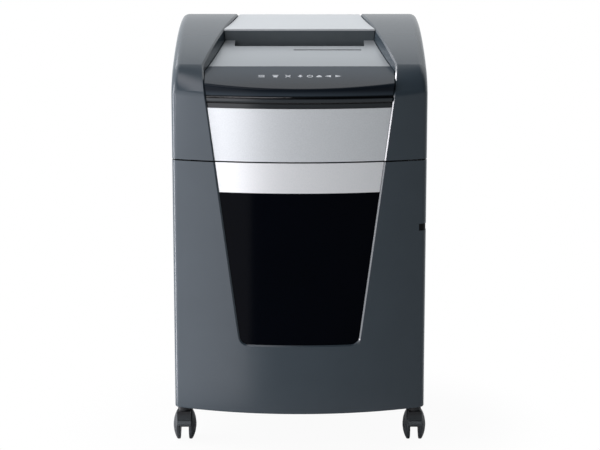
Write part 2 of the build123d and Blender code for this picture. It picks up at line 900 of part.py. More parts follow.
finish(cutter_plate(-1, left_plate_rear_y), "cutter_plate_left")
finish(cutter_plate(1, right_plate_rear_y), "cutter_plate_right")

# Tie rods between the plates
with BuildPart() as tie_rods:
    with BuildSketch(Plane.YZ):
        with Locations(*((y, z) for y in tie_rod_ys for z in tie_rod_zs)):
            Circle(tie_rod_radius)
    extrude(amount=plate_x, both=True)
finish(tie_rods.part, "tie_rods")

# Flanged bushes in both plates
with BuildPart() as cutter_bushes:
    for side in (-1, 1):
        with BuildSketch(Plane.YZ.offset(side * (plate_x + plate_thickness))):
            with Locations(front_axis, rear_axis):
                Circle(bush_radius)
        extrude(amount=-side * plate_thickness)
        with BuildSketch(Plane.YZ.offset(side * plate_x)):
            with Locations(front_axis, rear_axis):
                Circle(bush_radius + wall)
        extrude(amount=-side * bush_flange)
        with BuildSketch(Plane.YZ.offset(side * (plate_x + plate_thickness))):
            with Locations(front_axis, rear_axis):
                Circle(shaft_radius + run_clearance)
        extrude(amount=-side * (plate_thickness + bush_flange), mode=Mode.SUBTRACT)
finish(cutter_bushes.part, "cutter_bushes")


# Cutter roller: a core between hooked discs, each disc turned a little past the last one
def cutter_roller(axis, rows, hand, left_end, right_end):
    hook_step = 2 * pi / disc_teeth
    outline = []
    for tooth in range(disc_teeth):
        start = hand * tooth * hook_step
        for radius, turn in (
            (disc_radius, 0),
            (disc_radius - disc_land_drop, disc_land),
            (disc_hook_radius, disc_gullet),
        ):
            angle = start + hand * turn * hook_step
            outline.append((radius * cos(angle), radius * sin(angle)))
    first = -(rows - 1) * disc_pitch / 2
    with BuildPart() as roller:
        with BuildSketch(Plane.YZ.offset(-core_half_length)):
            with Locations(axis):
                RegularPolygon(core_radius, disc_teeth)
        extrude(amount=2 * core_half_length)
        disc_planes = []
        for row in range(rows):
            turn = radians(disc_twist * row)
            disc_planes.append(
                Plane(
                    origin=(first + row * disc_pitch - disc_thickness / 2, axis[0], axis[1]),
                    x_dir=(0, cos(turn), sin(turn)),
                    z_dir=(1, 0, 0),
                )
            )
        with BuildSketch(*disc_planes):
            Polygon(*outline, align=None)
        extrude(amount=disc_thickness)
        with BuildSketch(Plane.YZ.offset(left_end)):
            with Locations(axis):
                Circle(shaft_radius)
        extrude(amount=right_end - left_end)
    return roller.part


finish(cutter_roller(front_axis, disc_rows, 1, -sync_outer_x, front_shaft_end), "cutter_roller_front")
finish(cutter_roller(rear_axis, disc_rows - 1, -1, -sync_outer_x, rear_shaft_end), "cutter_roller_rear")


# Stripper comb: a bar with one finger in each gap between the discs
def stripper_comb(axis, fingers, side):
    bar_y = axis[0] + side * (comb_bar_reach + comb_bar_width / 2)
    finger_y = axis[0] + side * (comb_bar_reach - comb_finger_length / 2)
    with BuildPart() as comb:
        with BuildSketch(Plane.XY.offset(cutter_z - comb_drop)):
            with Locations((0, bar_y)):
                Rectangle(2 * plate_x, comb_bar_width)
            with Locations((0, finger_y)):
                with GridLocations(disc_pitch, comb_finger_length, fingers, 1):
                    Rectangle(comb_finger_width, comb_finger_length + cut_over)
        extrude(amount=comb_height)
    return comb.part


finish(stripper_comb(front_axis, disc_rows - 1, -1), "comb_front")
finish(stripper_comb(rear_axis, disc_rows - 2, 1), "comb_rear")


# Gear outline with stub teeth, chords inside the involute flanks; a tooth stands at the phase angle
def gear_outline(module, teeth, phase):
    pitch = module * teeth / 2
    base = pitch * cos(pressure_angle)
    root = pitch - dedendum * module
    tip = pitch + addendum * module
    radii = [root, base, pitch, tip] if root < base else [root, pitch, tip]

    def half_angle(radius):
        roll = acos(base / max(radius, base))
        opening = tan(pressure_angle) - pressure_angle - (tan(roll) - roll)
        return pi / (2 * teeth) - backlash / (2 * pitch) + opening

    points = []
    for tooth in range(teeth):
        middle = phase + 2 * pi * tooth / teeth
        rising = [(radius, middle - half_angle(radius)) for radius in radii]
        falling = [(radius, middle + half_angle(radius)) for radius in reversed(radii)]
        points += [(radius * cos(angle), radius * sin(angle)) for radius, angle in rising + falling]
    return points


def gear(axis, low_x, width, outline, bore):
    with BuildPart() as wheel:
        with BuildSketch(Plane.YZ.offset(low_x)):
            with Locations(axis):
                Polygon(*outline, align=None)
                Circle(bore, mode=Mode.SUBTRACT)
        extrude(amount=width)
    return wheel.part


# Synchronising gears at the left ends of the rollers
sync_half_step = pi / sync_teeth
sync_x = -sync_outer_x
front_sync = gear_outline(sync_module, sync_teeth, 0)
rear_sync = gear_outline(sync_module, sync_teeth, pi + sync_half_step)
finish(gear(front_axis, sync_x, sync_width, front_sync, shaft_radius), "sync_gear_front")
finish(gear(rear_axis, sync_x, sync_width, rear_sync, shaft_radius), "sync_gear_rear")

# Drive gear on the right end of the rear roller
drive_outline = gear_outline(drive_module, drive_teeth, idler_direction)
finish(gear(rear_axis, drive_x, drive_width, drive_outline, shaft_radius), "drive_gear")

# Compound idler: large wheel to the motor, small wheel to the drive gear
with BuildPart() as idler_gear:
    with BuildSketch(Plane.YZ.offset(idler_x)):
        with Locations(idler_axis):
            Polygon(*gear_outline(motor_module, idler_large_teeth, motor_direction), align=None)
    extrude(amount=drive_width)
    with BuildSketch(Plane.YZ.offset(idler_x + drive_width)):
        with Locations(idler_axis):
            Circle(idler_hub)
    extrude(amount=drive_x - idler_x - drive_width)
    with BuildSketch(Plane.YZ.offset(drive_x)):
        with Locations(idler_axis):
            small_phase = idler_direction + pi + pi / idler_small_teeth
            Polygon(*gear_outline(drive_module, idler_small_teeth, small_phase), align=None)
    extrude(amount=drive_width)
    with BuildSketch(Plane.YZ.offset(idler_x)):
        with Locations(idler_axis):
            Circle(idler_pin + run_clearance)
    extrude(amount=drive_x + drive_width - idler_x, mode=Mode.SUBTRACT)
finish(idler_gear.part, "idler_gear")

with BuildPart() as idler_axle:
    with BuildSketch(Plane.YZ.offset(plate_x)):
        with Locations(idler_axis):
            Circle(idler_pin)
    extrude(amount=cover_depth + plate_thickness - wall)
finish(idler_axle.part, "idler_axle")

# Motor housing and the armature that turns in it
with BuildPart() as motor_housing:
    with BuildSketch(Plane.YZ.offset(plate_x - motor_length)):
        with Locations(motor_axis):
            Circle(motor_radius)
    extrude(amount=motor_length)
    chamfer(motor_housing.edges().group_by(Axis.X)[0], wall)
    with BuildSketch(Plane.YZ.offset(plate_x - motor_length + wall)):
        with Locations(motor_axis):
            Circle(motor_radius - wall)
    extrude(amount=motor_length - 2 * wall, mode=Mode.SUBTRACT)
    with BuildSketch(Plane.YZ.offset(plate_x - motor_length)):
        with Locations(motor_axis):
            Circle(motor_shaft + run_clearance)
    extrude(amount=motor_length, mode=Mode.SUBTRACT)
finish(motor_housing.part, "motor_housing")

with BuildPart() as armature:
    with BuildSketch(Plane.YZ.offset(plate_x - motor_length)):
        with Locations(motor_axis):
            Circle(motor_shaft)
    extrude(amount=motor_length + pinion_reach)
    with BuildSketch(Plane.YZ.offset(plate_x - motor_length + rotor_margin)):
        with Locations(motor_axis):
            RegularPolygon(rotor_radius, pinion_teeth)
    extrude(amount=motor_length - 2 * rotor_margin)
    with BuildSketch(Plane.YZ.offset(idler_x)):
        with Locations(motor_axis):
            pinion_phase = motor_direction + pi + pi / pinion_teeth
            Polygon(*gear_outline(motor_module, pinion_teeth, pinion_phase), align=None)
    extrude(amount=drive_width)
finish(armature.part, "armature")

# Gear cover over the right-hand train
with BuildPart() as gear_cover:
    cover_mid = ((cover_front_y + cover_rear_y) / 2, (cover_low_z + cover_high_z) / 2)
    cover_length = cover_rear_y - cover_front_y
    cover_height = cover_high_z - cover_low_z
    with BuildSketch(Plane.YZ.offset(plate_x + plate_thickness)):
        with Locations(cover_mid):
            RectangleRounded(cover_length, cover_height, corner_round)
    extrude(amount=cover_depth)
    chamfer(gear_cover.edges().group_by(Axis.X)[-1], wall)
    with BuildSketch(Plane.YZ.offset(plate_x + plate_thickness)):
        with Locations(cover_mid):
            RectangleRounded(cover_length - 2 * wall, cover_height - 2 * wall, corner_round - wall)
    extrude(amount=cover_depth - wall, mode=Mode.SUBTRACT)
finish(gear_cover.part, "gear_cover")

# Front chute: paper guide and disc guide on common cheeks, screwed between the plates
with BuildPart() as feed_chute_front:
    with BuildSketch(Plane.YZ):
        for (top_y, top_z), (low_y, low_z) in (paper_guide, disc_guide):
            with BuildLine():
                Polyline(
                    (top_y, top_z),
                    (low_y, low_z),
                    (low_y - chute_wall, low_z),
                    (top_y - chute_wall, top_z),
                    close=True,
                )
            make_face()
    extrude(amount=chute_half_length, both=True)
    for side in (-1, 1):
        with BuildSketch(Plane.YZ.offset(side * chute_half_length)):
            with BuildLine():
                Polyline(
                    paper_guide[0],
                    paper_guide[1],
                    disc_guide[1],
                    (disc_guide[1][0] - chute_wall, disc_guide[1][1]),
                    (disc_guide[0][0] - chute_wall, disc_guide[0][1]),
                    close=True,
                )
            make_face()
        extrude(amount=side * (plate_x - chute_half_length))
finish(feed_chute_front.part, "feed_chute_front")

with BuildPart() as feed_chute_rear:
    with BuildSketch(Plane.YZ):
        with BuildLine():
            (top_y, top_z), (low_y, low_z) = rear_guide
            Polyline(
                (top_y, top_z),
                (low_y, low_z),
                (low_y + chute_wall, low_z),
                (top_y + chute_wall, top_z),
                close=True,
            )
        make_face()
    extrude(amount=plate_x, both=True)
finish(feed_chute_rear.part, "feed_chute_rear")

# Control board under the control panel, parallel to its top
board_plane = Plane(
    origin=(0, board_y, control_front_z + (board_y - front_y) * control_slope - board_drop),
    x_dir=(1, 0, 0),
    z_dir=(0, -control_slope, 1),
)
with BuildPart() as control_board:
    with BuildSketch(board_plane):
        RectangleRounded(board_length, board_width, wall)
    extrude(amount=-board_thickness)
    with BuildSketch(board_plane):
        with GridLocations(key_pitch, key_size, key_count, 1):
            Rectangle(key_size, key_size)
    extrude(amount=board_thickness)
finish(control_board.part, "control_board")

# Bin position switch under the shelf
with BuildPart() as bin_switch:
    with BuildSketch(Plane.XY.offset(shelf_low_z)):
        with Locations((bin_switch_x, bin_switch_y)):
            Rectangle(bin_switch_length, bin_switch_width)
    extrude(amount=-bin_switch_height)
    chamfer(bin_switch.faces().sort_by(Axis.Z)[0].edges(), switch_chamfer)
finish(bin_switch.part, "bin_switch")


# Caster fork: hood over the wheels, cheek block and lever in front, web between, boss and stem on the swivel
def caster_fork(x, y):
    hub = (y + caster_trail, wheel_radius)
    with BuildPart() as fork:
        with BuildSketch(Plane.YZ.offset(x - hood_half_width)):
            with BuildLine():
                outer = CenterArc(hub, hood_outer, hood_start, hood_span)
                inner = CenterArc(hub, hood_inner, hood_start, hood_span)
                Line(outer @ 0, inner @ 0)
                Line(outer @ 1, inner @ 1)
            make_face()
        extrude(amount=2 * hood_half_width)
        with BuildSketch(Plane.XY.offset(boss_low_z)):
            with Locations((x, y)):
                Circle(boss_radius)
        extrude(amount=boss_high_z - boss_low_z)
        with BuildSketch(Plane.YZ.offset(x - hood_half_width)):
            with Locations((y - cheek_reach, cheek_low_z)):
                Rectangle(cheek_reach, cheek_high_z - cheek_low_z, align=Align.MIN)
            with Locations((y - lever_reach, lever_low_z)):
                Rectangle(lever_reach, cheek_low_z - lever_low_z, align=Align.MIN)
        extrude(amount=2 * hood_half_width)
        with BuildSketch(Plane.YZ.offset(x - 2 * hood_half_width)):
            with Locations(hub):
                Circle(hood_inner)
        extrude(amount=4 * hood_half_width, mode=Mode.SUBTRACT)
        with BuildSketch(Plane.YZ.offset(x - web_half)):
            with BuildLine():
                arc = CenterArc(hub, hood_outer, web_start, web_span)
                Polyline(arc @ 1, hub, arc @ 0)
            make_face()
            with Locations(hub):
                Circle(web_boss)
        extrude(amount=2 * web_half)
        with BuildSketch(Plane.XY.offset(boss_high_z)):
            with Locations((x, y)):
                Circle(stem_radius)
        extrude(amount=stem_top_z - boss_high_z)
        with BuildSketch(Plane.YZ.offset(x - web_half)):
            with Locations(hub):
                Circle(axle_radius)
        extrude(amount=2 * web_half, mode=Mode.SUBTRACT)
    return fork.part


# Caster wheel: flat tread, outer face domed in three cones, blind bore for the axle
def caster_wheel(x, y, side):
    hub = Plane(origin=(x, y + caster_trail, wheel_radius), x_dir=(side, 0, 0), z_dir=(0, -side, 0))
    with BuildPart() as wheel:
        with BuildSketch(hub):
            with BuildLine():
                Polyline(
                    (wheel_inner_x, 0),
                    (wheel_inner_x, wheel_radius - tread_chamfer),
                    (wheel_inner_x + tread_chamfer, wheel_radius),
                    (wheel_inner_x + tread_width, wheel_radius),
                    (shoulder_x, shoulder_radius),
                    (dome_mid_x, dome_mid_radius),
                    (wheel_outer_x, cap_radius),
                    (wheel_outer_x, 0),
                    close=True,
                )
            make_face()
        revolve(axis=Axis(hub.origin, hub.x_dir))
        with BuildSketch(Plane.YZ.offset(x + side * wheel_inner_x)):
            with Locations((y + caster_trail, wheel_radius)):
                Circle(axle_radius + run_clearance)
        extrude(amount=side * (wheel_outer_x - dome_wall - wheel_inner_x), mode=Mode.SUBTRACT)
    return wheel.part


for spot, (x, y) in zip(("front_left", "front_right", "rear_left", "rear_right"), caster_spots):
    finish(caster_fork(x, y), f"{spot}_caster_fork")
    with BuildPart() as caster_axle:
        with BuildSketch(Plane.YZ.offset(x - axle_half)):
            with Locations((y + caster_trail, wheel_radius)):
                Circle(axle_radius)
        extrude(amount=2 * axle_half)
    finish(caster_axle.part, f"{spot}_caster_axle")
    finish(caster_wheel(x, y, -1), f"{spot}_wheel_left")
    finish(caster_wheel(x, y, 1), f"{spot}_wheel_right")
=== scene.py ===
import json
from math import cos, pi, radians, sin, sqrt

import bmesh
import bpy
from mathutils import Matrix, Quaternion, Vector


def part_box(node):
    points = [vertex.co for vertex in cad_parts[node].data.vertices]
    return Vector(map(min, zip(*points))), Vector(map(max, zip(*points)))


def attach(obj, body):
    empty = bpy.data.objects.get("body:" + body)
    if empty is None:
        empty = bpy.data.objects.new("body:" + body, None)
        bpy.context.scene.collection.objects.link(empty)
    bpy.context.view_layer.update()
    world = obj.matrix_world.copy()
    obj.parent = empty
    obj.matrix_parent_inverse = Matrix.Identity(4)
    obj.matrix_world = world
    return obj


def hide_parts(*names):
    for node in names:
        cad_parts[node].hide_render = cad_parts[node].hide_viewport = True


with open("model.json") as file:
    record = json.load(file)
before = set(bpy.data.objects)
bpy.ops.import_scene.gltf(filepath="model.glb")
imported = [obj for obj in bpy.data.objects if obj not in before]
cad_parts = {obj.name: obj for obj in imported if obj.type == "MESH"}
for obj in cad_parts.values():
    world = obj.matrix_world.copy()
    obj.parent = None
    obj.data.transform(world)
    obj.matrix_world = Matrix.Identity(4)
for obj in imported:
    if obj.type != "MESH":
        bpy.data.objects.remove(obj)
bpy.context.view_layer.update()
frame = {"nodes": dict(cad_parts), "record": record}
nodes = frame["nodes"]


def linear(code):  # sRGB hex to the linear values a socket takes
    parts = [int(code[i : i + 2], 16) / 255 for i in (1, 3, 5)]
    return [p / 12.92 if p <= 0.04045 else ((p + 0.055) / 1.055) ** 2.4 for p in parts] + [1.0]


def addNode(tree, kind, values=None, links=None, **settings):
    node = tree.nodes.new(kind)
    for name, value in settings.items():
        setattr(node, name, value)
    for socket, value in (values or {}).items():
        node.inputs[socket].default_value = value
    for socket, source in (links or {}).items():
        tree.links.new(source, node.inputs[socket])
    return node


# Stops of a colour ramp, each written as (position, linear colour)
def setStops(ramp, rows):
    stops = ramp.color_ramp.elements
    while len(stops) < len(rows):
        stops.new(0.5)
    for stop, (position, colour) in zip(stops, rows):
        stop.position = position
        stop.color = colour


# Colour by height over the floor, each tier written as (mm, colour), with a little of the drifting tint
def tierColour(tree, tiers, drift, driftShare=0.12):
    place = addNode(tree, "ShaderNodeTexCoord").outputs["Object"]
    split = addNode(tree, "ShaderNodeSeparateXYZ", None, {"Vector": place})
    lowest, highest = tiers[0][0] / 1000, tiers[-1][0] / 1000
    climb = addNode(
        tree, "ShaderNodeMapRange", {"From Min": lowest, "From Max": highest}, {"Value": split.outputs["Z"]}
    )
    ramp = addNode(tree, "ShaderNodeValToRGB", None, {"Fac": climb.outputs["Result"]})
    ramp.color_ramp.interpolation = "EASE"
    setStops(ramp, [((height / 1000 - lowest) / (highest - lowest), linear(code)) for height, code in tiers])
    blend = addNode(
        tree,
        "ShaderNodeMix",
        {"Factor": driftShare},
        {"A": ramp.outputs["Color"], "B": drift},
        data_type="RGBA",
    )
    return blend.outputs["Result"]


# A band along the right rim of the central shield, whose half width grows with the height. Its limits are
# in millimetres, and it fades out between two shares of its width
def rimMask(tree, rim):
    place = addNode(tree, "ShaderNodeTexCoord").outputs["Object"]
    split = addNode(tree, "ShaderNodeSeparateXYZ", None, {"Vector": place}).outputs
    upright = addNode(
        tree, "ShaderNodeMath", {1: -rim["lean"]}, {0: split["Z"], 2: split["X"]}, operation="MULTIPLY_ADD"
    )
    middle = (rim["half"] - rim["lean"] * rim["low"] + rim["width"] / 2) / 1000
    beside = addNode(tree, "ShaderNodeMath", {1: middle}, {0: upright.outputs[0]}, operation="SUBTRACT")
    away = addNode(tree, "ShaderNodeMath", None, {0: beside.outputs[0]}, operation="ABSOLUTE")
    full, gone = [share * rim["width"] / 1000 for share in rim["fade"]]
    mask = addNode(
        tree,
        "ShaderNodeMapRange",
        {"From Min": full, "From Max": gone, "To Min": 1.0, "To Max": 0.0},
        {"Value": away.outputs[0]},
    )
    limits = (
        ("Z", rim["low"], "GREATER_THAN"),
        ("Z", rim["high"], "LESS_THAN"),
        ("Y", rim["rear"], "LESS_THAN"),
    )
    for axis, limit, test in limits:
        within = addNode(tree, "ShaderNodeMath", {1: limit / 1000}, {0: split[axis]}, operation=test)
        mask = addNode(
            tree, "ShaderNodeMath", None, {0: mask.outputs[0], 1: within.outputs[0]}, operation="MULTIPLY"
        )
    return mask.outputs[0]


# Every finish starts here: a tint that drifts between two colours, and a grain in the roughness and the
# bump. Sizes are in millimetres on the part. Real grain and flakes are finer than a pixel, so they are
# drawn at about a millimetre, coarser than life, to show
def surface(name, look):
    material = bpy.data.materials.new(name)
    material.use_nodes = True
    tree = material.node_tree
    tree.nodes.clear()
    place = addNode(tree, "ShaderNodeTexCoord").outputs["Object"]
    stretch = addNode(tree, "ShaderNodeMapping", {"Scale": look.get("stretch", (1, 1, 1))}, {"Vector": place})
    place = stretch.outputs["Vector"]
    driftScale, grainScale = 1000 / look["driftMm"], 1000 / look["grainMm"]
    drift = addNode(tree, "ShaderNodeTexNoise", {"Scale": driftScale, "Detail": 2.0}, {"Vector": place})
    tint = addNode(tree, "ShaderNodeValToRGB", None, {"Fac": drift.outputs["Fac"]})
    setStops(tint, ((0.3, linear(look["dark"])), (0.7, linear(look["pale"]))))  # where most of the noise lies
    grain = addNode(tree, "ShaderNodeTexNoise", {"Scale": grainScale, "Detail": 3.0}, {"Vector": place})
    rough = addNode(
        tree,
        "ShaderNodeMapRange",
        {"To Min": look["rough"][0], "To Max": look["rough"][1]},
        {"Value": grain.outputs["Fac"]},
    )
    bump = addNode(
        tree,
        "ShaderNodeBump",
        {"Strength": look["bump"], "Distance": look["grainMm"] / 4 / 1000},  # a quarter of the grain's width
        {"Height": grain.outputs["Fac"]},
    )
    colour = tint.outputs["Color"]
    if look.get("tiers"):
        colour = tierColour(tree, look["tiers"], colour)
    feeds = {"Base Color": colour, "Roughness": rough.outputs["Result"], "Normal": bump.outputs["Normal"]}
    if "rim" in look:
        feeds["Coat Weight"] = rimMask(tree, look["rim"])
    shader = addNode(tree, "ShaderNodeBsdfPrincipled", look.get("shader", {}), feeds)
    addNode(tree, "ShaderNodeOutputMaterial", None, {"Surface": shader.outputs["BSDF"]})
    return material


# Moulded ABS: a spark-eroded grain takes the edge off the gloss and leaves a soft broad sheen. The right
# rim of the shield has a clear lacquer that draws a bright line
shellAbs = surface(
    "abs_moulded_grey",
    {
        "dark": "#3a454d",
        "pale": "#3c474f",
        "driftMm": 60,
        "grainMm": 1.1,
        "rough": (0.23, 0.28),
        "bump": 0.03,
        "rim": {
            "half": 102,
            "low": 191,
            "high": 668,
            "rear": -100,
            "lean": 0.1345,
            "width": 2.4,
            "fade": (0.5, 0.7),
        },
        "shader": {"Coat Roughness": 0.1, "Coat IOR": 1.8},
    },
)
# Silver lacquer over ABS: flakes lie flat, so it brightens towards the lamp like metal but stays soft.
# Each panel's tone paints the light and shade it gets: the bin band is set paler as painted light, the rear
# top and the recessed feed panel darker as painted shade, and the feed panel darkens towards its front as
# painted shade
silverShadedTones = {
    "upper_fascia": ("#e1e5e7", "#e8ecee"),
    "bin_band": ("#f6f9fa", "#fcfdfe"),
    "rear_top_panel": ("#cfd3d5", "#d5d9db"),
    "feed_panel": ("#a5aaad", "#abb0b3"),
}
# Painted shade on the feed panel: darker towards its front, paler to the rear
silverShadeTiers = {"feed_panel": ((664, "#999ea1"), (694, "#b5babd"))}
silverLacquer = {
    panel: surface(
        "abs_silver_lacquer_" + panel,
        {
            "dark": dark,
            "pale": pale,
            "driftMm": 2.0,
            "grainMm": 0.9,
            "rough": (0.3, 0.36),
            "bump": 0.02,
            "tiers": silverShadeTiers.get(panel),
            "shader": {"Metallic": 0.3},
        },
    )
    for panel, (dark, pale) in silverShadedTones.items()
}
# Polished ABS: smooth, with only a faint ripple from the mould. Its colour paints light and shade by height:
# darkest along the fold as painted shade, paler to the rear as a painted reflection, and paler on the rounded
# front as a painted highlight
controlAbs = surface(
    "abs_polished_graphite",
    {
        "dark": "#181d22",
        "pale": "#1b2026",
        "driftMm": 80,
        "grainMm": 12,
        "rough": (0.16, 0.2),
        "bump": 0.01,
        "tiers": ((621, "#14191d"), (622.6, "#14191d"), (624, "#363f47"), (633, "#161c23"), (664, "#3b4650")),
        "shader": {"IOR": 1.165},
    },
)
# Polished black ABS: the bead carries a paler band as a painted highlight, the grooves beside it are painted
# near black as painted shade, and the foot of the lip is paler
lipAbs = surface(
    "abs_polished_black",
    {
        "dark": "#0d1013",
        "pale": "#101317",
        "driftMm": 80,
        "grainMm": 12,
        "rough": (0.16, 0.22),
        "bump": 0.01,
        "tiers": (
            (602, "#1f2529"),
            (608.6, "#1f2529"),
            (609.4, "#020305"),
            (612, "#020305"),
            (613.5, "#2e3438"),
            (617.5, "#2e3438"),
            (619, "#030406"),
        ),
    },
)
# Smoked acrylic: black in depth, a thin cool reflection on top
windowAcrylic = surface(
    "acrylic_smoked_black",
    {
        "dark": "#010309",
        "pale": "#02040b",
        "driftMm": 120,
        "grainMm": 20,
        "rough": (0.1, 0.13),
        "bump": 0.006,
        "shader": {"Specular IOR Level": 0.04},
    },
)
# Unpainted ABS inside and below: coarser grain, dull
darkAbs = surface(
    "abs_moulded_black",
    {"dark": "#23272a", "pale": "#282c30", "driftMm": 40, "grainMm": 1.4, "rough": (0.5, 0.62), "bump": 0.08},
)
# Throat wall: the same moulding in a mid grey
throatAbs = surface(
    "abs_moulded_slate",
    {"dark": "#4a5357", "pale": "#50585c", "driftMm": 40, "grainMm": 1.4, "rough": (0.5, 0.62), "bump": 0.08},
)
# Polyamide caster parts: waxy, slightly scuffed
casterNylon = surface(
    "polyamide_moulded_black",
    {
        "dark": "#2b3034",
        "pale": "#33383c",
        "driftMm": 14,
        "grainMm": 1.2,
        "rough": (0.42, 0.56),
        "bump": 0.08,
    },
)
# Fork of a caster: painted black as the shadow where it sits under the body, and painted a paler grey as
# light on the lever below
forkNylon = surface(
    "polyamide_glass_filled_black",
    {
        "dark": "#1b2024",
        "pale": "#22272b",
        "driftMm": 14,
        "grainMm": 1.2,
        "rough": (0.36, 0.48),
        "bump": 0.06,
        "tiers": ((30, "#51575b"), (40.5, "#51575b"), (42, "#2a3034"), (50, "#20262a"), (54, "#090c11")),
    },
)
# Soft-touch grip insert: matt black, it swallows the light
gripTpe = surface(
    "elastomer_moulded_black",
    {
        "dark": "#06080a",
        "pale": "#0a0c0e",
        "driftMm": 12,
        "grainMm": 0.8,
        "rough": (0.6, 0.7),
        "bump": 0.05,
        "shader": {"Specular IOR Level": 0.2},
    },
)
# Hardened cutter steel: ground along the roller, with an oil film
cutterSteel = surface(
    "tool_steel_ground",
    {
        "dark": "#8d9093",
        "pale": "#a9acae",
        "driftMm": 9,
        "grainMm": 1.2,
        "rough": (0.24, 0.38),
        "bump": 0.06,
        "stretch": (0.15, 1, 1),
        "shader": {"Metallic": 1.0},
    },
)
# Sheet steel with bright zinc: small cloudy spangle
sheetSteel = surface(
    "sheet_steel_zinc_plated",
    {
        "dark": "#a2a6aa",
        "pale": "#bcc0c3",
        "driftMm": 7,
        "grainMm": 2.0,
        "rough": (0.28, 0.42),
        "bump": 0.03,
        "shader": {"Metallic": 1.0},
    },
)
# Sintered bronze bushes: dull gold with open pores
bushBronze = surface(
    "bronze_sintered",
    {
        "dark": "#9a7a42",
        "pale": "#b3914f",
        "driftMm": 3,
        "grainMm": 0.8,
        "rough": (0.38, 0.52),
        "bump": 0.08,
        "shader": {"Metallic": 1.0},
    },
)
# Natural polyoxymethylene gears: milky and satin
gearAcetal = surface(
    "acetal_moulded_natural",
    {
        "dark": "#d9d5c6",
        "pale": "#e4e0d2",
        "driftMm": 12,
        "grainMm": 1.5,
        "rough": (0.34, 0.44),
        "bump": 0.03,
    },
)
# Stoved enamel on the motor can: even satin black
motorEnamel = surface(
    "steel_enamelled_black",
    {"dark": "#1c1e20", "pale": "#232528", "driftMm": 20, "grainMm": 2.2, "rough": (0.3, 0.4), "bump": 0.03},
)
# Glass-epoxy board under green solder mask: the weave shows through as a faint mottle
boardEpoxy = surface(
    "glass_epoxy_solder_mask",
    {
        "dark": "#10452a",
        "pale": "#175536",
        "driftMm": 1.6,
        "grainMm": 0.9,
        "rough": (0.28, 0.36),
        "bump": 0.05,
    },
)
# Screen-printed ink for the touch symbols: flat and pale, with no gloss of its own
symbolInk = surface(
    "ink_printed_pale",
    {"dark": "#c9ced2", "pale": "#d6dade", "driftMm": 3, "grainMm": 0.5, "rough": (0.45, 0.55), "bump": 0.02},
)

slotFinish = {
    "shell_grey": shellAbs,
    "silver_panel": silverLacquer["upper_fascia"],
    "control_gloss": controlAbs,
    "lip_black": lipAbs,
    "window_black": windowAcrylic,
    "dark_plastic": darkAbs,
    "caster_plastic": casterNylon,
    "cutter_steel": cutterSteel,
    "frame_steel": sheetSteel,
    "bush_brass": bushBronze,
    "gear_nylon": gearAcetal,
    "motor_paint": motorEnamel,
    "board_green": boardEpoxy,
}
nodeSlot = {row["node"]: row["material_slot"] for row in frame["record"]["subparts"]}
bodyNodes = frame["record"]["behaviour"]["bodies"]
nodeBody = {node: body for body, members in bodyNodes.items() for node in members}
ownFinish = {"throat_wall": throatAbs, "bin_grip": gripTpe, **silverLacquer}
ownFinish.update({name: forkNylon for name in nodes if name.endswith("_caster_fork")})
for name, solid in nodes.items():
    solid.data.materials.clear()
    solid.data.materials.append(ownFinish.get(name, slotFinish[nodeSlot[name]]))
print("finishes:", len(slotFinish), "slots dressed")


# A finished piece: its mesh is already in the shared frame
def addPiece(name, mesh, body, slotName, material, *replaced):
    piece = bpy.data.objects.new(name, mesh)
    bpy.context.scene.collection.objects.link(piece)
    mesh.materials.clear()
    mesh.materials.append(material)
    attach(piece, body)
    if replaced:
        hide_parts(*replaced)


# Caster wheels, in mm: turned profiles with a crowned outer face, a trim groove and a hub cap
casterWheel = {
    "radius": 27.0,
    "innerX": 8.0,
    "outerX": 20.0,
    "tread": 5.0,
    "innerRound": (1.0, 0.3),
    "outerRound": 0.5,
    "bore": 4.1,
    "boreEnd": 3.0,
    "crown": 2.4,
    "crownSteps": 24,
    "grooveRadius": 16.5,
    "grooveHalf": 0.6,
    "grooveDepth": 0.5,
    "capRadius": 6.5,
    "capProud": 0.25,
    "turns": 72,
    "sharpAngle": 28,
}


def wheelProfile(spec):
    radius, inner, outer = spec["radius"], spec["innerX"], spec["outerX"]
    treadEnd = inner + spec["tread"]
    (wide, cut), edge, steps = spec["innerRound"], spec["outerRound"], spec["crownSteps"]
    outline = [(spec["bore"], inner), (radius - wide, inner), (radius - cut, inner + cut)]
    outline += [(radius, inner + wide), (radius, treadEnd - edge), (radius - edge, treadEnd)]
    for step in range(1, steps):
        r = (radius - edge) * (1 - step / steps)
        x = outer - (outer - treadEnd) * (r / radius) ** spec["crown"]
        if abs(r - spec["grooveRadius"]) < spec["grooveHalf"]:
            x -= spec["grooveDepth"]
        if r < spec["capRadius"]:
            x += spec["capProud"]
        outline.append((r, x))
    return outline + [(0.0, outer + spec["capProud"])]


def turnedWheel(centre, side, spec):
    wheel = bmesh.new()
    rings = []
    for r, x in wheelProfile(spec):
        spots = spec["turns"] if r > 0 else 1
        ring = []
        for turn in range(spots):
            angle = 2 * pi * turn / spots
            offset = Vector((side * x, r * cos(angle), r * sin(angle))) / 1000
            ring.append(wheel.verts.new(centre + offset))
        rings.append(ring)
    boreDepth = Vector((side * (spec["outerX"] - spec["boreEnd"] - spec["innerX"]), 0, 0)) / 1000
    rings.insert(0, [wheel.verts.new(vert.co + boreDepth) for vert in rings[0]])
    wheel.faces.new(rings[0])
    for low, high in zip(rings, rings[1:]):
        for turn in range(len(low)):
            after = (turn + 1) % len(low)
            if len(high) > 1:
                wheel.faces.new((low[turn], low[after], high[after], high[turn]))
            else:
                wheel.faces.new((low[turn], low[after], high[0]))
    bmesh.ops.recalc_face_normals(wheel, faces=wheel.faces)
    mesh = bpy.data.meshes.new("caster_wheel")
    wheel.to_mesh(mesh)
    wheel.free()
    mesh.shade_smooth()
    mesh.set_sharp_from_angle(angle=radians(spec["sharpAngle"]))
    return mesh


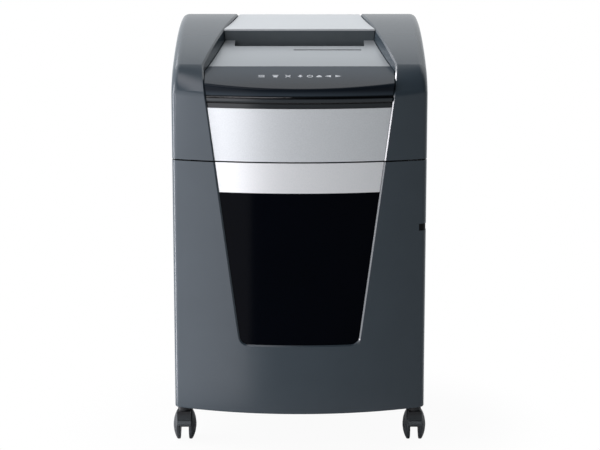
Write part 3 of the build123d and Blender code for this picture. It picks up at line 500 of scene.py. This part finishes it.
wheelNodes = [name for name in nodes if "_wheel_" in name]
for name in wheelNodes:
    low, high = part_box(name)
    side = -1 if name.endswith("_left") else 1
    farX = low[0] if side < 0 else high[0]
    axleX = farX - side * casterWheel["outerX"] / 1000
    centre = Vector((axleX, (low[1] + high[1]) / 2, (low[2] + high[2]) / 2))
    mesh = turnedWheel(centre, side, casterWheel)
    addPiece(name + "_turned", mesh, nodeBody[name], nodeSlot[name], casterNylon, name)
print("casters:", len(wheelNodes), "wheels turned")

# Rear panel screws, in metres: pan heads with a cross recess, set on points on the rear face
rearScrews = {
    "faceY": 0.186,
    "spots": [(x, z) for x in (-0.176, 0.176) for z in (0.088, 0.289, 0.490)]
    + [(x, z) for x in (-0.104, 0.104) for z in (0.528, 0.722)],
    "Head Radius": 0.0034,
    "Head Height": 0.0021,
    "Recess Width": 0.0011,
}


def screwTree(material):
    tree = bpy.data.node_groups.new("pan_head_screws", "GeometryNodeTree")
    tree.interface.new_socket("Points", in_out="INPUT", socket_type="NodeSocketGeometry")
    for name in ("Head Radius", "Head Height", "Recess Width"):
        tree.interface.new_socket(name, in_out="INPUT", socket_type="NodeSocketFloat")
    tree.interface.new_socket("Screws", in_out="OUTPUT", socket_type="NodeSocketGeometry")
    given = addNode(tree, "NodeGroupInput").outputs
    ball = addNode(
        tree, "GeometryNodeMeshUVSphere", {"Segments": 24, "Rings": 12}, {"Radius": given["Head Radius"]}
    )
    ratio = addNode(
        tree, "ShaderNodeMath", None, {0: given["Head Height"], 1: given["Head Radius"]}, operation="DIVIDE"
    )
    flat = addNode(tree, "ShaderNodeCombineXYZ", {"X": 1.0, "Y": 1.0}, {"Z": ratio.outputs[0]})
    head = addNode(
        tree,
        "GeometryNodeTransform",
        None,
        {"Geometry": ball.outputs["Mesh"], "Scale": flat.outputs["Vector"]},
    )
    barSize = addNode(
        tree,
        "ShaderNodeCombineXYZ",
        None,
        {"X": given["Head Radius"], "Y": given["Recess Width"], "Z": given["Head Height"]},
    )
    bar = addNode(tree, "GeometryNodeMeshCube", None, {"Size": barSize.outputs["Vector"]})
    lift = addNode(tree, "ShaderNodeCombineXYZ", None, {"Z": given["Head Height"]})
    bars = [
        addNode(
            tree,
            "GeometryNodeTransform",
            {"Rotation": (0, 0, turn)},
            {"Geometry": bar.outputs["Mesh"], "Translation": lift.outputs["Vector"]},
        )
        for turn in (0, pi / 2)
    ]
    cut = addNode(
        tree, "GeometryNodeMeshBoolean", None, {"Mesh 1": head.outputs["Geometry"]}, operation="DIFFERENCE"
    )
    for piece in bars:
        tree.links.new(piece.outputs["Geometry"], cut.inputs["Mesh 2"])
    turned = addNode(
        tree, "GeometryNodeTransform", {"Rotation": (-pi / 2, 0, 0)}, {"Geometry": cut.outputs["Mesh"]}
    )
    placed = addNode(
        tree,
        "GeometryNodeInstanceOnPoints",
        None,
        {"Points": given["Points"], "Instance": turned.outputs["Geometry"]},
    )
    real = addNode(tree, "GeometryNodeRealizeInstances", None, {"Geometry": placed.outputs["Instances"]})
    paint = addNode(
        tree, "GeometryNodeSetMaterial", {"Material": material}, {"Geometry": real.outputs["Geometry"]}
    )
    addNode(tree, "NodeGroupOutput", None, {"Screws": paint.outputs["Geometry"]})
    return tree


pointMesh = bpy.data.meshes.new("screw_points")
pointMesh.from_pydata([(x, rearScrews["faceY"], z) for x, z in rearScrews["spots"]], [], [])
pointHolder = bpy.data.objects.new("screw_points", pointMesh)
bpy.context.scene.collection.objects.link(pointHolder)
modifier = pointHolder.modifiers.new("screws", "NODES")
modifier.node_group = screwTree(sheetSteel)
for socket in modifier.node_group.interface.items_tree:
    if socket.name in rearScrews:
        modifier[socket.identifier] = rearScrews[socket.name]
bpy.context.view_layer.update()
evaluated = pointHolder.evaluated_get(bpy.context.evaluated_depsgraph_get())
screwMesh = bpy.data.meshes.new_from_object(evaluated)
pointHolder.modifiers.remove(modifier)
bpy.data.objects.remove(pointHolder)
addPiece("rear_screws", screwMesh, "cabinet", "frame_steel", sheetSteel)
print("screws:", len(rearScrews["spots"]), "heads,", len(screwMesh.polygons), "faces")

# Touch symbols printed on the slope of the control panel, in metres, all generic
touchSymbols = {
    "alongX": (-0.0652, -0.0412, -0.0196, 0.0015, 0.0180, 0.0338, 0.0486, 0.0672),
    "rearEdge": (-0.080, 0.6649),
    "frontEdge": (-0.186, 0.633),
    "alongY": -0.1237,
    "half": 0.0054,
    "proud": 0.00015,
}


# Loops of one symbol, in a square from -1 to 1
def symbolLoops(kind):
    if kind == 0:  # stack of sheets
        return [[(-1, y), (1, y), (1, y + 0.3), (-1, y + 0.3)] for y in (-0.9, -0.2, 0.5)]
    if kind == 1:  # bin with a lid
        lid = [(-1, 0.65), (1, 0.65), (1, 0.95), (-1, 0.95)]
        return [[(-0.55, -1), (0.55, -1), (0.8, 0.45), (-0.8, 0.45)], lid]
    if kind == 2:  # cross
        bar = [(-0.9, -0.7), (-0.6, -0.95), (0.9, 0.7), (0.6, 0.95)]
        return [bar, [(u, -v) for u, v in bar]]
    if kind == 3:  # down arrow
        return [[(-0.9, 0.1), (0, -1), (0.9, 0.1)], [(-0.35, 0.1), (0.35, 0.1), (0.35, 1), (-0.35, 1)]]
    if kind == 4:  # standby ring, drawn as short bars
        outer = [(sin(step * pi / 12), cos(step * pi / 12)) for step in range(2, 24)]
        inner = [(u * 0.68, v * 0.68) for u, v in outer]
        bars = [[outer[i], outer[i + 1], inner[i + 1], inner[i]] for i in range(len(outer) - 1)]
        return bars + [[(-0.16, 0.1), (0.16, 0.1), (0.16, 1.1), (-0.16, 1.1)]]
    if kind == 5:  # thermometer arch
        return [[(-1, -0.8), (1, -0.8), (0.7, 0.2), (0, 0.9), (-0.7, 0.2)]]
    if kind == 6:  # reverse
        return [[(1, -0.85), (1, 0.85), (-0.9, 0)]]
    return [[(-1, -0.85), (-1, 0.85), (0.9, 0)]]  # forward


symbols = bmesh.new()
(rearY, rearZ), (frontY, frontZ) = touchSymbols["rearEdge"], touchSymbols["frontEdge"]
slope = (rearZ - frontZ) / (rearY - frontY)
tilt = sqrt(1 + slope**2)
half = touchSymbols["half"]
for kind, alongX in enumerate(touchSymbols["alongX"]):
    for loop in symbolLoops(kind):
        corners = []
        for level in (0, 1):
            lift = touchSymbols["proud"] * (2 * level - 1)
            for u, v in loop:
                y = touchSymbols["alongY"] + half * v / tilt
                z = frontZ + (y - frontY) * slope + lift
                corners.append(symbols.verts.new((alongX + half * u, y, z)))
        count = len(loop)
        symbols.faces.new(corners[:count][::-1])
        symbols.faces.new(corners[count:])
        for i in range(count):
            j = (i + 1) % count
            symbols.faces.new((corners[i], corners[j], corners[count + j], corners[count + i]))
bmesh.ops.recalc_face_normals(symbols, faces=symbols.faces)
symbolMesh = bpy.data.meshes.new("touch_symbols")
symbols.to_mesh(symbolMesh)
symbols.free()
addPiece("touch_symbols", symbolMesh, "cabinet", "silver_panel", symbolInk)
print("symbols:", len(touchSymbols["alongX"]))

# Floor: a small pale disc that fades into the white surround and keeps a faint shadow. The camera sees
# the shadow share as paper and the rest as white
studioFloor = {"radius": 0.5, "solid": 0.3, "colour": "#e8e8e8", "shadow": 0.05}
floorMesh = bpy.data.meshes.new("studio_floor")
disc = bmesh.new()
bmesh.ops.create_circle(disc, cap_ends=True, segments=96, radius=studioFloor["radius"])
disc.to_mesh(floorMesh)
disc.free()
floor = bpy.data.objects.new("studio_floor", floorMesh)
bpy.context.scene.collection.objects.link(floor)
paper = bpy.data.materials.new("paper_backdrop")
paper.use_nodes = True
tree = paper.node_tree
tree.nodes.clear()
path = addNode(tree, "ShaderNodeLightPath")
matt = addNode(tree, "ShaderNodeBsdfDiffuse", {"Color": linear(studioFloor["colour"])})
glow = addNode(tree, "ShaderNodeEmission", {"Color": (1, 1, 1, 1), "Strength": 1.0})
place = addNode(tree, "ShaderNodeTexCoord").outputs["Object"]
reach = addNode(tree, "ShaderNodeVectorMath", None, {0: place}, operation="LENGTH")
fade = addNode(
    tree,
    "ShaderNodeMapRange",
    {
        "From Min": studioFloor["solid"],
        "From Max": studioFloor["radius"],
        "To Min": 1 - studioFloor["shadow"],
        "To Max": 1.0,
    },
    {"Value": reach.outputs["Value"]},
    interpolation_type="SMOOTHSTEP",
)
lit = addNode(
    tree, "ShaderNodeMixShader", None, {0: fade.outputs["Result"], 1: matt.outputs[0], 2: glow.outputs[0]}
)
seen = addNode(
    tree,
    "ShaderNodeMixShader",
    None,
    {0: path.outputs["Is Camera Ray"], 1: matt.outputs[0], 2: lit.outputs[0]},
)
addNode(tree, "ShaderNodeOutputMaterial", None, {"Surface": seen.outputs[0]})
floorMesh.materials.append(paper)

# Surround: white to the camera, and so is the backdrop behind the machine to mirrors and glass. Over
# it a bank of light gains strength up to a dark ceiling, and the room in front is dim
surround = {
    "tint": "#f9fcff",
    "front": 0.38,
    "frontTop": (0.1, 0.5, 0.05),
    "peak": 1.82,
    "byHeight": ((0.0, 0.54), (0.38, 0.55), (0.8, 1.0), (0.86, 0.8), (0.95, 0.08)),
    "backdropTop": (0.3, 0.4),
    "leanLeft": -0.3,
    "edge": (-0.1, 0.3),
}
world = bpy.data.worlds.new("studio_surround")
bpy.context.scene.world = world
world.use_nodes = True
tree = world.node_tree
tree.nodes.clear()
path = addNode(tree, "ShaderNodeLightPath")
way = addNode(tree, "ShaderNodeTexCoord").outputs["Generated"]
split = addNode(tree, "ShaderNodeSeparateXYZ", None, {"Vector": way})
lean = addNode(
    tree,
    "ShaderNodeMath",
    {1: surround["leanLeft"]},
    {0: split.outputs["X"], 2: split.outputs["Y"]},
    operation="MULTIPLY_ADD",
)
wall = addNode(
    tree,
    "ShaderNodeMapRange",
    {"From Min": surround["edge"][0], "From Max": surround["edge"][1]},
    {"Value": lean.outputs[0]},
    interpolation_type="SMOOTHSTEP",
)
height = addNode(tree, "ShaderNodeValToRGB", None, {"Fac": split.outputs["Z"]})
setStops(height, [(position, (level, level, level, 1)) for position, level in surround["byHeight"]])
bright = addNode(
    tree, "ShaderNodeMath", {1: surround["peak"]}, {0: height.outputs["Color"]}, operation="MULTIPLY"
)
low, high, ceiling = surround["frontTop"]
room = addNode(
    tree,
    "ShaderNodeMapRange",
    {"From Min": low, "From Max": high, "To Min": surround["front"], "To Max": surround["front"] * ceiling},
    {"Value": split.outputs["Z"]},
    interpolation_type="SMOOTHSTEP",
)
around = addNode(
    tree,
    "ShaderNodeMix",
    None,
    {"Factor": wall.outputs["Result"], "A": room.outputs["Result"], "B": bright.outputs[0]},
)
low, high = surround["backdropTop"]
under = addNode(
    tree,
    "ShaderNodeMapRange",
    {"From Min": low, "From Max": high, "To Min": 1.0, "To Max": 0.0},
    {"Value": split.outputs["Z"]},
)
backdrop = addNode(
    tree,
    "ShaderNodeMath",
    None,
    {0: wall.outputs["Result"], 1: under.outputs["Result"]},
    operation="MULTIPLY",
)
mirrored = addNode(
    tree,
    "ShaderNodeMath",
    None,
    {0: path.outputs["Is Glossy Ray"], 1: path.outputs["Is Transmission Ray"]},
    operation="MAXIMUM",
)
mirrored = addNode(
    tree, "ShaderNodeMath", None, {0: mirrored.outputs[0], 1: backdrop.outputs[0]}, operation="MULTIPLY"
)
white = addNode(
    tree,
    "ShaderNodeMath",
    None,
    {0: path.outputs["Is Camera Ray"], 1: mirrored.outputs[0]},
    operation="MAXIMUM",
)
strength = addNode(
    tree, "ShaderNodeMix", {"B": 1.0}, {"Factor": white.outputs[0], "A": around.outputs["Result"]}
)
tone = addNode(
    tree,
    "ShaderNodeMix",
    {"A": linear(surround["tint"]), "B": (1, 1, 1, 1)},
    {"Factor": path.outputs["Is Camera Ray"]},
    data_type="RGBA",
)
back = addNode(
    tree,
    "ShaderNodeBackground",
    None,
    {"Color": tone.outputs["Result"], "Strength": strength.outputs["Result"]},
)
addNode(tree, "ShaderNodeOutputWorld", None, {"Surface": back.outputs[0]})

# Lamps: a tall softbox in front on the left, a strip at the left that draws the outer corner, a rolled
# strip for the line on the right rim, a weak box over the left tower and a small one at the back on the
# left for the fold of the right rim
lampTint = "#fdfaff"
lamps = {
    "softbox": {
        "place": (-1.364, -1.335, 0.8),
        "aim": (0.096, -0.115, 0.8),
        "size": (1.9, 3.1),
        "power": 27.5,
    },
    "cornerStrip": {"place": (-2.0, 0.04, 0.45), "aim": (0, 0, 0.45), "size": (0.4, 2.6), "power": 40},
    "rimStrip": {
        "place": (-1.59, -0.9, 0.61),
        "aim": (0.15, -0.16, 0.56),
        "size": (0.24, 0.46),
        "power": 2.6,
        "roll": 44,
    },
    "topBox": {"place": (-0.7, -0.48, 2.6), "aim": (-0.7, -0.12, 0.65), "size": (0.9, 0.8), "power": 6.4},
    "foldBox": {"place": (-1.19, 1.1, 1.88), "aim": (0.165, -0.13, 0.65), "size": (0.35, 0.35), "power": 2.2},
}
for name, lamp in lamps.items():
    light = bpy.data.lights.new(name, "AREA")
    light.shape = "RECTANGLE"
    light.size, light.size_y = lamp["size"]
    light.energy = lamp["power"]
    light.color = linear(lampTint)[:3]
    holder = bpy.data.objects.new(name, light)
    bpy.context.scene.collection.objects.link(holder)
    holder.location = lamp["place"]
    aim = Vector(lamp["aim"]) - Vector(lamp["place"])
    turn = aim.to_track_quat("-Z", "Y") @ Quaternion((0, 0, 1), radians(lamp.get("roll", 0)))
    holder.rotation_euler = turn.to_euler()
    holder.visible_camera = False

# Camera: standing in front, a little above the machine
view = {"lens": 102, "sensor": 36, "place": (0.0009, -3.0401, 0.9203), "down": 10.264}
lens = bpy.data.cameras.new("front_view")
lens.lens = view["lens"]
lens.sensor_width = view["sensor"]
camera = bpy.data.objects.new("front_view", lens)
bpy.context.scene.collection.objects.link(camera)
camera.location = view["place"]
camera.rotation_euler = (radians(90 - view["down"]), 0, 0)
bpy.context.scene.camera = camera
bpy.context.scene.view_settings.view_transform = "Standard"
print("studio: floor, surround,", len(lamps), "lamps and camera")

bpy.context.view_layer.update()
